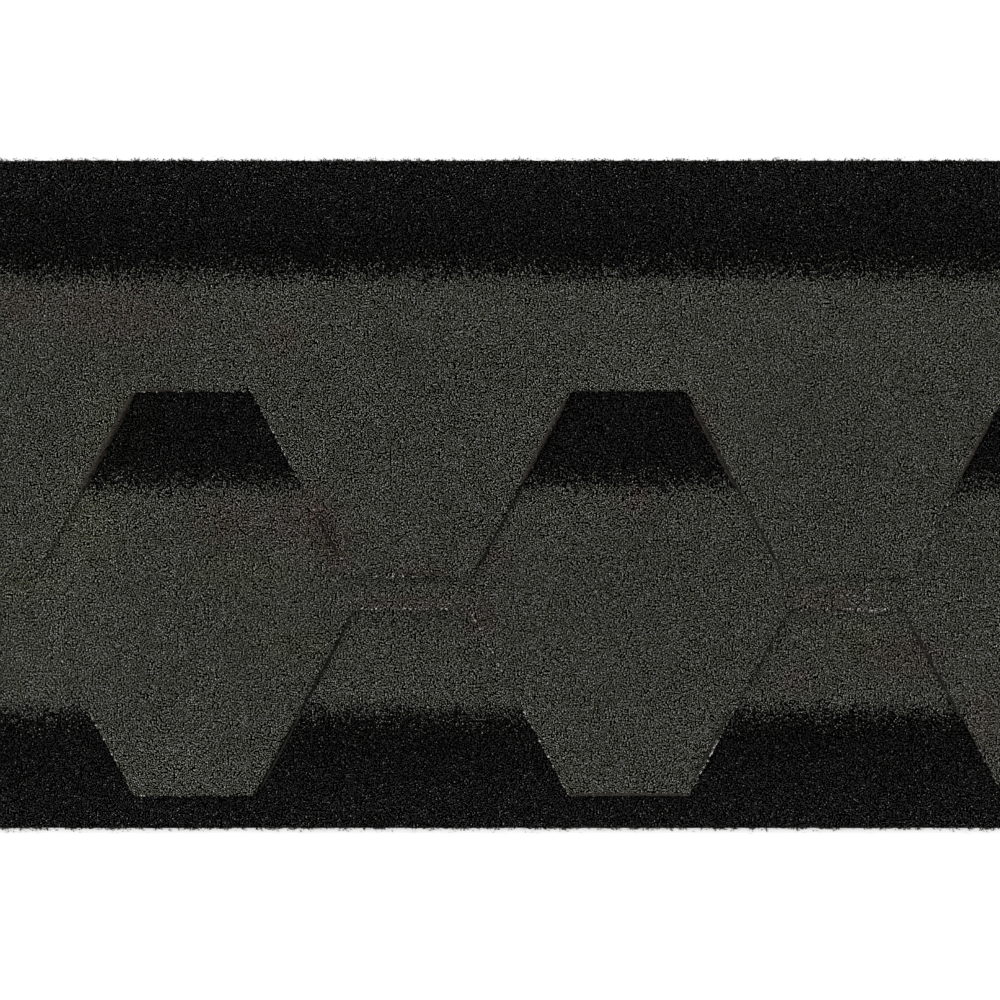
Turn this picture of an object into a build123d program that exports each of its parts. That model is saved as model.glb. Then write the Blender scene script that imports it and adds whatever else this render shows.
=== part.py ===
from build123d import *

import math
import os

# Three hexagonal-tab asphalt shingle strips, lapped as they are laid and lying on a level floor.
# The strips are alike. The starter strip is turned half round, so that its straight edge shows below the
# tabs of the first course, which lies on it. The second course lies on the first, half a tab along, so
# that a whole tab shows in each of its cut-outs. It reaches past the sheets below it, at its head and at
# its left end, and there it comes down to the floor.
# X runs along the strips, Y from the starter's straight edge up to the head of the second course, and Z
# is up. The origin is on the floor, below the middle of the stack. Lengths are millimetres.

# One strip, as it is cut from the sheet
strip_length = 1000.0
strip_height = 320.0
sheet_thickness = 3.2
tab_count = 3
tab_depth = 143.0
tab_tip_width = 92.0
cutout_root_width = 88.0
cutout_root_radius = 6.0
tab_tip_radius = 2.0

# The lay-up: how far the starter shows below the first course's tips, how far a course's tips stop above
# the cut-outs of the course below, how far along a course is shifted, and the air between two sheets
starter_reveal = 25.0
tip_to_root_gap = 24.0
course_shift_share = 0.5
lay_gap = 0.05

# The drape: how far past the edge that holds it up a sheet starts to fall, and the run of its fall
sheets_below_second_course = 2
drape_lead = 5.0
drape_run = 105.0
drape_stations_in_run = 8
drape_fit_tolerance = 0.005

# How far a cut, or a sheet that is still to be cut, reaches past the finished face
cut_overrun = 20.0

# Sizes that follow from those above
tab_pitch = strip_length / tab_count
cutout_mouth_width = tab_pitch - tab_tip_width
layer_step = sheet_thickness + lay_gap
course_shift = tab_pitch * course_shift_share
course_step = tab_depth + tip_to_root_gap
second_course_rise = layer_step * sheets_below_second_course

# Low left corners of the two courses, and the stack's middle, from the low left corner of the starter
first_course_corner = (0, starter_reveal)
second_course_corner = (-course_shift, starter_reveal + course_step)
stack_middle = (
    (strip_length - course_shift) / 2,
    (starter_reveal + course_step + strip_height) / 2,
)


def cutout():
    """One cut-out: its mouth on the X axis, its narrow root above, rounded in the root's corners."""
    corners = [
        (-cutout_mouth_width / 2, 0),
        (cutout_mouth_width / 2, 0),
        (cutout_root_width / 2, tab_depth),
        (-cutout_root_width / 2, tab_depth),
    ]
    shape = make_face(Polyline(*corners, close=True))
    root_corners = shape.vertices().group_by(Axis.Y)[-1]
    return fillet(root_corners, cutout_root_radius)


def strip_outline():
    """A strip seen from above, its tab tips on the X axis, with half a cut-out at each end."""
    outline = Rectangle(strip_length, strip_height, align=Align.MIN)
    for place in range(tab_count + 1):
        outline -= Pos(place * tab_pitch, 0) * cutout()
    tip_corners = outline.vertices().group_by(Axis.Y)[0]
    return fillet(tip_corners, tab_tip_radius)


def flat_strip():
    """A strip that lies flat, with its underside at zero."""
    return extrude(strip_outline(), amount=sheet_thickness)


def height_share(past_edge):
    """What a draped sheet keeps of its height at a distance past the edge that holds it up."""
    travel = min(max((past_edge - drape_lead) / drape_run, 0), 1)
    return 1 - travel**3 * (10 - 15 * travel + 6 * travel**2)


def stations(start, end):
    """Places from start to end, about as far apart as the drape's curve needs."""
    steps = math.ceil((end - start) * drape_stations_in_run / drape_run)
    return [start + (end - start) * step / steps for step in range(steps + 1)]


def draped_underside():
    """The second course's underside: flat on the first course, then down past its head and left end."""
    left, low = second_course_corner
    support_left, support_low = first_course_corner
    support_head = support_low + strip_height
    points = [
        [
            (x, y, second_course_rise * height_share(support_left - x) * height_share(y - support_head))
            for y in stations(low - cut_overrun, low + strip_height + cut_overrun)
        ]
        for x in stations(left - cut_overrun, left + strip_length + cut_overrun)
    ]
    return Face.make_surface_from_array_of_points(points, tol=drape_fit_tolerance)


def starter_strip():
    """The lowest strip, turned half round, with its straight edge at the eaves."""
    return Pos(strip_length, strip_height) * Rot(Z=180) * flat_strip()


def first_course_strip():
    """The strip on the starter, with the starter's straight edge showing below its tabs."""
    return Pos(*first_course_corner, layer_step) * flat_strip()


def second_course_strip():
    """The strip on the first course, hung over that course's edges and cut to its own outline."""
    sheet = extrude(draped_underside(), amount=sheet_thickness, dir=(0, 0, 1))
    cutter = extrude(strip_outline(), amount=second_course_rise + sheet_thickness + 2 * cut_overrun)
    return sheet & Pos(*second_course_corner, -cut_overrun) * cutter


def main():
    os.makedirs("parts", exist_ok=True)
    to_origin = Pos(-stack_middle[0], -stack_middle[1])
    for strip in (starter_strip, first_course_strip, second_course_strip):
        export_step(to_origin * strip(), os.path.join("parts", strip.__name__ + ".step"))


main()
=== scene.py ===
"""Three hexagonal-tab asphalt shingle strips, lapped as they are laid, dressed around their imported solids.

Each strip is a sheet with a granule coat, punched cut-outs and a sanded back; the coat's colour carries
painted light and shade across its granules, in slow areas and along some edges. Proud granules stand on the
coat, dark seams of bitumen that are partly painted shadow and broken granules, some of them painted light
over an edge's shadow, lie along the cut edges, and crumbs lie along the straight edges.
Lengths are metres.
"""

import math
from dataclasses import dataclass

import bmesh
import bpy
import numpy as np
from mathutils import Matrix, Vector
from mathutils.bvhtree import BVHTree


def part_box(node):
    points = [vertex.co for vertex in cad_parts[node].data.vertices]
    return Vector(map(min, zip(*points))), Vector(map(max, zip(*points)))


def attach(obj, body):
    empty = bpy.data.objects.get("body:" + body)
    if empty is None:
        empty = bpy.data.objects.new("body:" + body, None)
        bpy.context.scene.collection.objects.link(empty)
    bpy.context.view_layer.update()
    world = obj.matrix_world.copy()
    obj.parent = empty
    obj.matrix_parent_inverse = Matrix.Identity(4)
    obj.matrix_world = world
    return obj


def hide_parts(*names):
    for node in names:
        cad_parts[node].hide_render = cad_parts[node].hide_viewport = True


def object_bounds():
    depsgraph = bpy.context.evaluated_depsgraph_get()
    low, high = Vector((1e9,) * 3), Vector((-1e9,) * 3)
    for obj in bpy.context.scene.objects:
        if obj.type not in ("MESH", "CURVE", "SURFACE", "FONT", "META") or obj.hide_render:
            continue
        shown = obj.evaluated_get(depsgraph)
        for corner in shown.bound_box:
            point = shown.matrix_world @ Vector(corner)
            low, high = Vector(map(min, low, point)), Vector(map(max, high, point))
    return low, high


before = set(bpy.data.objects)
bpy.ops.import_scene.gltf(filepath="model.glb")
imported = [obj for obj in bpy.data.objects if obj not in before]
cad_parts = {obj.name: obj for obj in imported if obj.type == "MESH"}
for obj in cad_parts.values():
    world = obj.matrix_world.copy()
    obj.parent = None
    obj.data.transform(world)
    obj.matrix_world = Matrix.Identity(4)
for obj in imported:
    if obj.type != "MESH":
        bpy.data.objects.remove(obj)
CAD_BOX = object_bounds()

bl_info = {
    "name": "Lapped shingle strips",
    "version": (1, 0, 0),
    "blender": (4, 5, 0),
    "location": "3D View > Sidebar > Shingles",
    "description": "Models and finishes a lapped stack of hexagonal-tab asphalt shingle strips",
    "category": "Object",
}

STARTER_LOW, STARTER_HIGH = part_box("starter_strip")
FIRST_LOW, FIRST_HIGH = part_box("first_course_strip")
SECOND_LOW, SECOND_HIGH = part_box("second_course_strip")

SHEET_THICKNESS = STARTER_HIGH.z - STARTER_LOW.z
LAY_GAP = FIRST_LOW.z - STARTER_HIGH.z
STRIP_LENGTH = STARTER_HIGH.x - STARTER_LOW.x
STRIP_HEIGHT = STARTER_HIGH.y - STARTER_LOW.y
SECOND_RISE = FIRST_HIGH.z + LAY_GAP

SHEETS = ("starter_sheet", "first_course_sheet", "second_course_sheet")

# How far cuts and blanks reach past a finished face, and the segments of a rounded corner
CUT_OVERRUN = 0.02
BLANK_OVERRUN = 0.0005
ROUND_SEGMENTS = 5

# Upward part of a face's normal: the least that is refined as coat, and the most of a cut and of the back
COAT_SLOPE = 0.9
CUT_SLOPE = 0.4
BACK_SLOPE = -0.5

# Places of the materials on a sheet, after the coat, and the angle up to which its faces are smoothed
CUT_INDEX = 1
BACK_INDEX = 2
SMOOTH_ANGLE = math.radians(35)

# Raggedness of a strip's head: its noise's scale, its reach, the noise's middle, and the depth it starts in
RAGGED_SCALE = 0.005
RAGGED_REACH = 0.0014
RAGGED_MIDDLE = 0.7
RAGGED_DEPTH = 0.001

# Slow waves of a sheet: their scale, and how far from the strips over it they come to their full height
WAVE_SCALE = 0.11
WAVE_FADE = 0.02

# Lumps in the coat: their scale, how far down the sheet they take in, and how far they keep from covers
LUMP_SCALE = 0.0035
LUMP_DEPTH_SHARE = 0.05
LUMP_MARGIN = 0.0005

# Lumps in the coat: the rim in which they sink, and the share that is left at the edge
LUMP_RIM = 0.002
LUMP_RIM_SHARE = 0.3

# Shares of the granules up to which each brightness level reaches, from the darkest granule up
LEVEL_SHARES = (0.0, 0.05, 0.25, 0.5, 0.75, 0.95, 1.0)

# How strongly the tint shows at each of those levels
TINT_STRENGTHS = (2.6, 2.1, 1.45, 1.0, 0.65, 0.3, 0.1)

# Chance that a granule is a pale one, against its place in the seam between the dark and the pale granules
SEAM_SHARES = (0.0, 0.3, 0.53, 0.68, 0.84, 1.0)
SEAM_CHANCES = (0.0, 0.08, 0.25, 0.45, 0.78, 1.0)

# Share of the seam's width that lies inside the dark band
SEAM_IN_BAND = 0.8

# Share of a dark band, from the head on, in which its brightness changes
BAND_GAIN_SHARE = 0.8

# How much brighter than its own level the middle of a coat granule is painted: painted light next to painted
# shade
CORE_GAIN = 2.16

# Where a granule's painted bright middle ends, and where its gap is painted black as crevice shade, as shares
# of width
CORE_SHARES = (0.1, 0.3)

# Where a granule's dome starts and ends, as shares of its width, the share of the lowest dome, and the height
DOME_SHARES = (0.1, 0.8)
LOWEST_DOME_SHARE = 0.35
DOME_HEIGHT = 0.0005

# Roughness of the dullest and of the smoothest granule
GRANULE_ROUGHNESS = (0.95, 0.5)

# Swirls that set the granules out of line: how many to a metre, and their reach
SWIRL_SCALE = 80.0
SWIRL_REACH = 0.0032

# Wander of the seam between dark and pale: how many bends to a metre, and their reach to each side
WANDER_SCALE = 60.0
WANDER_REACH = 0.003

# Slow patches in the coat: how many to a metre, and the gain of the darkest and of the lightest
PATCH_SCALE = 22.0
PATCH_GAINS = (0.93, 1.07)

# Span of a noise's values that is spread over its whole effect
NOISE_SPAN = (0.3, 0.7)
WIDE_NOISE_SPAN = (0.25, 0.75)

# Mineral filler in a cut face: grains to a metre, height, and levels at shares of the noise
FILLER_SCALE = 900.0
FILLER_HEIGHT = 0.0004
FILLER_SHARES = (0.3, 0.5, 0.62, 0.75)
FILLER_LEVELS = (0.25, 0.8, 1.2, 2.2)

# Sand on the back: grains to a metre, height, levels at shares of the grains, and the patches of dust
SAND_SCALE = 2200.0
SAND_HEIGHT = 0.0002
SAND_SHARES = (0.0, 0.6, 0.9, 1.0)
SAND_LEVELS = (0.5, 0.8, 1.8, 4.5)
DUST_SCALE = 18.0
DUST_GAINS = (0.5, 1.4)

# Smeared bitumen: smears to a metre, height, and levels at shares of the noise
SMEAR_SCALE = 700.0
SMEAR_HEIGHT = 0.0004
SMEAR_SHARES = (0.3, 0.5, 0.7)
SMEAR_LEVELS = (0.35, 1.0, 2.0)

# A granule of about unit width: its cone, the pull on its base and its tip, and how uneven its corners are
GRANULE_RADIUS = 0.55
GRANULE_HEIGHT = 0.5
BASE_PULL = (0.06, 0.03, -0.22)
TIP_PULL = (-0.12, 0.08, 0.05)
UNEVENNESS = (0.8, 1.2)

# Proud granules: their least distance from covers and edges
PROUD_COVER_MARGIN = 0.001
PROUD_EDGE_MARGIN = 0.0006

# Proud granules: width as a share of the mean, lift as a share of that width, and their part of the levels
PROUD_WIDTH_SHARES = (0.6, 1.05)
PROUD_LIFT_SHARES = (-0.1, 0.2)
PROUD_LEVEL_SHARES = (0.1, 0.92)

# Lengths of the waves in which chips and crumbs thicken along an edge, and how far each wave swings
CLUMP_LENGTHS = (0.013, 0.029, 0.067)
CLUMP_SWING = 0.25

# Chips on the cut edges: reach out of the sheet, lift, width, and brightness with its contrast
CHIP_REACH = (-0.0004, 0.0006)
CHIP_LIFT = 0.0001
CHIP_WIDTHS = (0.0007, 0.0017)
CHIP_LEVELS = (0.4, 1.0)
CHIP_CONTRAST = 1.3

# Ribbons of bitumen: the height they are laid down from, thickness, its offset outwards, and highest rise
RIBBON_START = 0.05
RIBBON_THICKNESS = 0.0004
RIBBON_OFFSET = 0.6
RIBBON_RISE = 10 * RIBBON_THICKNESS

# Ribbons of bitumen: length of a cell, fewest cells along, cells across, and scale of the ragged edge
RIBBON_CELL = 0.001
FEWEST_RIBBON_CELLS = 6
RIBBON_CELLS_ACROSS = 4
RIBBON_RAGGED_SCALE = 0.0025

# Ribbons of bitumen: shares of the length, from the middle, past which they narrow, and to what share
RIBBON_PINCH_SHARES = ((0.40, 0.7), (0.46, 0.4))

# Crumbs: least chance of one, farthest one in mean reaches, widths, and the run in which they get smaller
LEAST_CRUMB_CHANCE = 0.1
FARTHEST_CRUMB = 8
CRUMB_WIDTHS = (0.0008, 0.0022)
CRUMB_SHRINK_RUN = 0.004

# Crumbs: brightness with its contrast
CRUMB_LEVELS = (0.2, 1.2)
CRUMB_CONTRAST = 2

# Crumbs that stick to the edge: chance, reach as a share of the width, and lowest place
STUCK_CHANCE = 0.4
STUCK_REACH_SHARES = (-0.4, 0.35)
STUCK_LOWEST = 0.0004

# Steps from the seed to the random numbers of the chips, the crumbs and the stains
CHIP_DRAWS = 1
CRUMB_DRAWS = 2
STAIN_DRAWS = 3

# Height from which places on the sheets are looked down on
LOOK_DOWN_HEIGHT = 1.0

# The stage: the floor's size and its gap to the object, the white it adds to the camera, and the far limit
FLOOR_SIZE = 8.0
FLOOR_GAP = 0.0001
FLOOR_WHITE = 0.25
FARTHEST_VIEW = 20.0

# Places of the lamps, which shine at the origin
LAMP_PLACES = {
    "left_light": (-1.9, 0.3, 1.4),
    "head_light": (0.4, 1.9, 1.3),
}

# Tints of the real stains in the coat, of painted shade and light in slow areas, and of painted shadow along
# edges
RUSTY = (1.08, 0.90, 0.94)
OLIVE = (1.0, 1.02, 0.88)
SHADED = (0.89, 0.89, 0.89)
PAINTED_SHADOW = (0.78, 0.78, 0.78)
LIT = (1.20, 1.20, 1.20)
# The tints of painted shade and light, laid on evenly and not in blotches
SHADE_AND_LIGHT_TINTS = (SHADED, PAINTED_SHADOW, LIT)

# Stains, painted shade and painted light in the coat: middle x and y, reach in x and y, and tint
STAINS_SHADE_AND_LIGHT = (
    (-0.309, 0.139, 0.048, 0.020, RUSTY),
    (-0.390, 0.146, 0.020, 0.016, RUSTY),
    (-0.184, 0.120, 0.014, 0.012, RUSTY),
    (-0.165, -0.022, 0.026, 0.022, RUSTY),
    (-0.226, -0.022, 0.022, 0.016, RUSTY),
    (-0.157, -0.012, 0.008, 0.012, RUSTY),
    (-0.142, -0.044, 0.012, 0.014, RUSTY),
    (0.090, -0.004, 0.012, 0.010, RUSTY),
    (0.138, 0.056, 0.010, 0.016, RUSTY),
    (-0.018, -0.049, 0.012, 0.010, RUSTY),
    (-0.031, -0.096, 0.012, 0.012, RUSTY),
    (0.294, -0.124, 0.026, 0.014, RUSTY),
    (0.216, -0.140, 0.013, 0.010, RUSTY),
    (0.353, -0.173, 0.012, 0.020, RUSTY),
    (-0.085, -0.083, 0.040, 0.005, RUSTY),
    (-0.073, -0.059, 0.018, 0.004, RUSTY),
    (0.238, -0.075, 0.028, 0.004, RUSTY),
    (0.236, -0.085, 0.028, 0.004, RUSTY),
    (-0.384, -0.068, 0.030, 0.014, OLIVE),
    (-0.310, 0.052, 0.020, 0.036, OLIVE),
    (-0.330, -0.026, 0.020, 0.030, OLIVE),
    (-0.215, -0.060, 0.040, 0.014, OLIVE),
    (-0.170, -0.115, 0.030, 0.012, OLIVE),
    (0.260, -0.112, 0.020, 0.012, OLIVE),
    # Painted shade over slow darker areas of the tabs
    (-0.081, 0.080, 0.040, 0.070, SHADED),
    (0.253, 0.034, 0.045, 0.070, SHADED),
    (0.085, -0.055, 0.075, 0.085, SHADED),
    # Painted shadow below a tab tip and below a cut-out's root, and beside some cut edges
    (-0.083, -0.066, 0.042, 0.004, PAINTED_SHADOW),
    (-0.083, -0.096, 0.046, 0.007, PAINTED_SHADOW),
    (0.308, -0.056, 0.007, 0.014, PAINTED_SHADOW),
    (0.321, -0.032, 0.007, 0.016, PAINTED_SHADOW),
    (0.335, -0.005, 0.007, 0.016, PAINTED_SHADOW),
    (-0.148, -0.030, 0.009, 0.018, PAINTED_SHADOW),
    # Painted light over slow lighter areas, and beside one cut edge to offset its cast shadow
    (-0.362, -0.100, 0.055, 0.085, LIT),
    (-0.346, -0.024, 0.030, 0.030, LIT),
    (0.300, -0.052, 0.007, 0.014, LIT),
    (0.316, -0.026, 0.007, 0.016, LIT),
    (-0.268, -0.204, 0.045, 0.030, LIT),
    (0.105, 0.098, 0.055, 0.022, LIT),
)


@dataclass
class Wear:
    """Wear along a part of one side of a cut-out; its dark seams are partly painted shadow, and chips just
    outside an edge are partly painted light.

    The cut-outs are counted from the strip's left end. The part runs from a low to a high share of the side,
    from the mouth to the root or from left to right. The size is a width, or the spacing of chips. The inset
    is how far inside the strip's edge the middle of the wear lies.
    """

    kind: str
    strip: str
    cutout: int
    side: str
    low: float
    high: float
    size: float
    inset: float = 0.0


# Rows of wear: the dark seams are partly bitumen and partly painted shadow along the edges
EDGE_WEAR = (
    Wear("crushed", "second_course", 1, "left", 0.46, 0.98, 0.0042, 0.0012),
    Wear("chips", "second_course", 1, "right", 0.50, 1.00, 0.0014),
    Wear("chips", "second_course", 1, "right", 0.34, 0.47, 0.0012),
    Wear("seam", "second_course", 1, "right", 0.12, 0.34, 0.0013, -0.0012),
    Wear("chips", "second_course", 1, "right", 0.02, 0.12, 0.0011),
    Wear("chips", "second_course", 1, "root", 0.00, 1.00, 0.0015),
    Wear("crushed", "second_course", 1, "root", 0.00, 0.40, 0.0014, 0.0008),
    Wear("seam", "second_course", 2, "left", 0.03, 0.52, 0.0016, -0.0009),
    Wear("crushed", "second_course", 2, "left", 0.50, 0.95, 0.0030, 0.0008),
    Wear("chips", "second_course", 2, "left", 0.50, 0.90, 0.0050),
    Wear("crushed", "second_course", 2, "right", 0.48, 0.94, 0.0020, -0.0018),
    Wear("seam", "second_course", 2, "right", 0.03, 0.92, 0.0018, -0.0008),
    Wear("crushed", "second_course", 3, "left", 0.50, 0.85, 0.0028, 0.0010),
    # Chips just outside the edge, partly painted light over the edge's cast shadow
    Wear("chips", "second_course", 3, "left", 0.02, 0.50, 0.0012, -0.0007),
    Wear("seam", "second_course", 2, "tip", 0.88, 0.99, 0.0014, -0.0006),
    Wear("chips", "second_course", 1, "tip", 0.05, 0.60, 0.0030, 0.0012),
    Wear("seam", "second_course", 1, "tip", 0.35, 0.80, 0.0009, 0.0036),
    Wear("chips", "first_course", 0, "right", 0.03, 0.50, 0.0010),
    Wear("chips", "first_course", 0, "right", 0.50, 1.00, 0.0028),
    Wear("chips", "first_course", 0, "tip", 0.03, 0.97, 0.0018),
    Wear("seam", "first_course", 1, "left", 0.46, 0.97, 0.0018, -0.0009),
    Wear("crushed", "first_course", 1, "left", 0.04, 0.46, 0.0014, -0.0018),
    Wear("chips", "first_course", 1, "right", 0.66, 1.00, 0.0010),
    Wear("chips", "first_course", 1, "right", 0.00, 0.46, 0.0009),
    Wear("chips", "first_course", 1, "root", 0.00, 1.00, 0.0010, 0.0004),
    Wear("seam", "first_course", 2, "left", 0.05, 0.45, 0.0017, 0.0030),
    Wear("chips", "first_course", 2, "left", 0.02, 0.48, 0.0010, 0.0006),
    Wear("seam", "first_course", 2, "left", 0.46, 0.90, 0.0007, -0.0006),
    Wear("seam", "first_course", 2, "right", 0.44, 0.99, 0.0024, -0.0009),
    Wear("chips", "first_course", 2, "right", 0.05, 0.44, 0.0030),
    Wear("seam", "first_course", 2, "root", 0.00, 0.08, 0.0015, -0.0006),
    Wear("seam", "first_course", 2, "root", 0.92, 1.00, 0.0015, -0.0006),
    Wear("chips", "first_course", 2, "root", 0.08, 0.92, 0.0011, 0.0002),
    # Chips just outside the edge, partly painted light over the edge's cast shadow
    Wear("chips", "first_course", 2, "root", 0.05, 0.95, 0.0020, -0.0010),
    Wear("chips", "first_course", 2, "root", 0.00, 0.64, 0.0030, 0.0107),
    Wear("seam", "first_course", 2, "left", 0.995, 1.05, 0.0014, 0.0107),
    Wear("seam", "first_course", 2, "root", 0.90, 0.98, 0.0012, 0.0105),
    Wear("crushed", "first_course", 1, "tip", 0.00, 0.96, 0.0020, 0.0012),
    Wear("chips", "first_course", 1, "tip", 0.00, 0.24, 0.0013),
)


class StripSizes(bpy.types.PropertyGroup):
    """Sizes of the strips."""

    tab_count: bpy.props.IntProperty(
        name="Tabs", description="Tabs on a strip", default=3, min=1)
    tab_depth: bpy.props.FloatProperty(
        name="Tab depth", description="From the tips of the tabs to the roots of the cut-outs",
        default=0.143, unit="LENGTH")
    tab_tip_width: bpy.props.FloatProperty(
        name="Tab tip", description="Width of a tab at its tip", default=0.092, unit="LENGTH")
    cutout_root_width: bpy.props.FloatProperty(
        name="Cut-out root", description="Width of a cut-out at its root", default=0.088, unit="LENGTH")
    cutout_root_radius: bpy.props.FloatProperty(
        name="Root radius", description="Radius in the root's corners", default=0.006, unit="LENGTH")
    tab_tip_radius: bpy.props.FloatProperty(
        name="Tip radius", description="Radius on the tab's corners", default=0.002, unit="LENGTH")
    crushed_edge: bpy.props.FloatProperty(
        name="Crushed edge", description="Width of the slope that the punch leaves along a cut",
        default=0.0009, unit="LENGTH")
    drape_lead: bpy.props.FloatProperty(
        name="Drape lead", description="How far past its support a sheet starts to fall",
        default=0.005, unit="LENGTH")
    drape_run: bpy.props.FloatProperty(
        name="Drape run", description="Run in which a sheet falls to the floor",
        default=0.105, unit="LENGTH")
    sheet_cell: bpy.props.FloatProperty(
        name="Sheet cell", description="Spacing of the sheet's mesh, halved where it is open to view",
        default=0.004, unit="LENGTH")
    coat_relief: bpy.props.FloatProperty(
        name="Coat relief", description="Height of the lumps in the granule coat",
        default=0.00045, unit="LENGTH")
    sheet_wave: bpy.props.FloatProperty(
        name="Sheet wave", description="How far the top sheet lifts in its slow waves",
        default=0.0006, unit="LENGTH")


class StripFinish(bpy.types.PropertyGroup):
    """Granules, colours and bands of the strips."""

    granule_size: bpy.props.FloatProperty(
        name="Granule", description="Mean width of a granule", default=0.00125, unit="LENGTH")
    starter_band: bpy.props.FloatProperty(
        name="Starter band", description="Width of the starter's dark band", default=0.0932, unit="LENGTH")
    first_band: bpy.props.FloatProperty(
        name="First band", description="Width of the first course's dark band",
        default=0.0862, unit="LENGTH")
    second_band: bpy.props.FloatProperty(
        name="Second band", description="Width of the second course's dark band",
        default=0.0917, unit="LENGTH")
    seam_width: bpy.props.FloatProperty(
        name="Seam", description="Width in which dark and pale granules mix", default=0.030, unit="LENGTH")
    pale_levels: bpy.props.FloatVectorProperty(
        name="Pale levels", description="Brightness of the pale granules, from the darkest up", size=7,
        default=(0.085, 0.105, 0.119, 0.138, 0.178, 0.320, 0.460))
    dark_levels: bpy.props.FloatVectorProperty(
        name="Dark levels", description="Brightness of the dark granules, from the darkest up", size=7,
        default=(0.002, 0.006, 0.0115, 0.019, 0.028, 0.054, 0.200))
    pale_tint: bpy.props.FloatVectorProperty(
        name="Pale tint", description="Tint of the pale granules", subtype="COLOR",
        default=(0.975, 1.0, 0.83))
    dark_tint: bpy.props.FloatVectorProperty(
        name="Dark tint", description="Tint of the dark granules", subtype="COLOR",
        default=(1.0, 0.99, 0.97))
    cut_face: bpy.props.FloatVectorProperty(
        name="Cut face", description="Colour of the cut bitumen and felt", subtype="COLOR",
        default=(0.050, 0.040, 0.031))
    back_sand: bpy.props.FloatVectorProperty(
        name="Back", description="Colour of the sanded back", subtype="COLOR",
        default=(0.030, 0.029, 0.027))
    chip_tint: bpy.props.FloatVectorProperty(
        name="Chips", description="Colour of the brightest broken granules", subtype="COLOR",
        default=(0.95, 0.90, 0.86))
    crumb_tint: bpy.props.FloatVectorProperty(
        name="Crumbs", description="Colour of the crumbs", subtype="COLOR", default=(0.13, 0.103, 0.082))
    proud_granules: bpy.props.FloatProperty(
        name="Proud granules", description="Granules that stand out of the coat on a square metre",
        default=104000.0)
    # The seams: dark bitumen along the cut edges, partly painted shadow
    seam_and_shadow_colour: bpy.props.FloatVectorProperty(
        name="Seams", description="Colour of the bitumen seams", subtype="COLOR",
        default=(0.016, 0.0147, 0.0122))
    crushed_colour: bpy.props.FloatVectorProperty(
        name="Crushed edges", description="Colour of the crushed edges", subtype="COLOR",
        default=(0.033, 0.0277, 0.0226))
    crumbs_along_edge: bpy.props.FloatProperty(
        name="Crumbs", description="Most crumbs along a metre of straight edge", default=5200.0)
    crumb_reach: bpy.props.FloatProperty(
        name="Crumb reach", description="Mean distance of a crumb from its edge",
        default=0.0011, unit="LENGTH")
    granule_seed: bpy.props.IntProperty(
        name="Seed", description="Start of the random numbers", default=7)


class StageSettings(bpy.types.PropertyGroup):
    """Camera, lamps and floor."""

    view_centre: bpy.props.FloatVectorProperty(
        name="View centre", description="Point that the picture's middle shows", size=2, unit="LENGTH",
        default=(-0.0156, -0.0043))
    view_width: bpy.props.FloatProperty(
        name="View width", description="Width of the floor that the picture shows",
        default=0.768, unit="LENGTH")
    camera_height: bpy.props.FloatProperty(
        name="Camera height", description="Height of the camera over the floor", default=2.4, unit="LENGTH")
    floor_colour: bpy.props.FloatVectorProperty(
        name="Floor", description="Colour of the floor", subtype="COLOR", default=(0.86, 0.86, 0.86))
    left_light: bpy.props.FloatProperty(
        name="Left light", description="Strength of the soft light from the left", default=1.6)
    head_light: bpy.props.FloatProperty(
        name="Head light", description="Strength of the soft light from the strips' head", default=1.0)
    light_angle: bpy.props.FloatProperty(
        name="Light angle", description="How wide the soft lights look from the object",
        default=math.radians(24), subtype="ANGLE")
    sky_strength: bpy.props.FloatProperty(
        name="Sky", description="Strength of the light from all round", default=0.52)


@dataclass
class Strip:
    """Where one strip lies: its node, its box, the way its tabs point and the strips over it.

    The gains are the brightness of its dark band along the head and at the seam.
    """

    name: str
    node: str
    low: Vector
    high: Vector
    top: float
    band: float
    head_gain: float
    seam_gain: float
    turned: bool
    over: tuple

    def from_tips(self, y):
        """How far up the strip, from the line of its tab tips, a place is."""
        return self.high.y - y if self.turned else y - self.low.y

    def to_world(self, along, up):
        """World x and y of a place on the strip."""
        return self.low.x + along, self.high.y - up if self.turned else self.low.y + up


def lay_up(finish):
    """The three strips, from the top one down."""
    second = Strip(
        "second_course", "second_course_strip", SECOND_LOW, SECOND_HIGH, top=SECOND_RISE + SHEET_THICKNESS,
        band=finish.second_band, head_gain=1.45, seam_gain=0.76, turned=False, over=())
    first = Strip(
        "first_course", "first_course_strip", FIRST_LOW, FIRST_HIGH, top=FIRST_HIGH.z,
        band=finish.first_band, head_gain=0.88, seam_gain=0.88, turned=False, over=(second,))
    starter = Strip(
        "starter", "starter_strip", STARTER_LOW, STARTER_HIGH, top=STARTER_HIGH.z,
        band=finish.starter_band, head_gain=1.4, seam_gain=0.8, turned=True, over=(first, second))
    return second, first, starter


def tab_pitch(sizes):
    """From one cut-out's middle to the next."""
    return STRIP_LENGTH / sizes.tab_count


def cutout_mouth(sizes):
    """Width of a cut-out at the tips of the tabs."""
    return tab_pitch(sizes) - sizes.tab_tip_width


def slant(sizes):
    """How far a cut-out's side leans in for each length up."""
    return (cutout_mouth(sizes) - sizes.cutout_root_width) / 2 / sizes.tab_depth


def inset_depth(strip, sizes, x, y):
    """How far inside a strip's outline places lie, and less than zero outside it."""
    along = x - strip.low.x
    up = strip.from_tips(y)
    pitch = tab_pitch(sizes)
    from_middle = np.abs(along - pitch * np.round(along / pitch))
    lean = math.hypot(1, slant(sizes))
    past_side = (from_middle - cutout_mouth(sizes) / 2 + slant(sizes) * up) / lean
    past_cutout = np.maximum(past_side, up - sizes.tab_depth)
    past_border = np.minimum.reduce([along, STRIP_LENGTH - along, up, STRIP_HEIGHT - up])
    return np.minimum(past_cutout, past_border)


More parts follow.
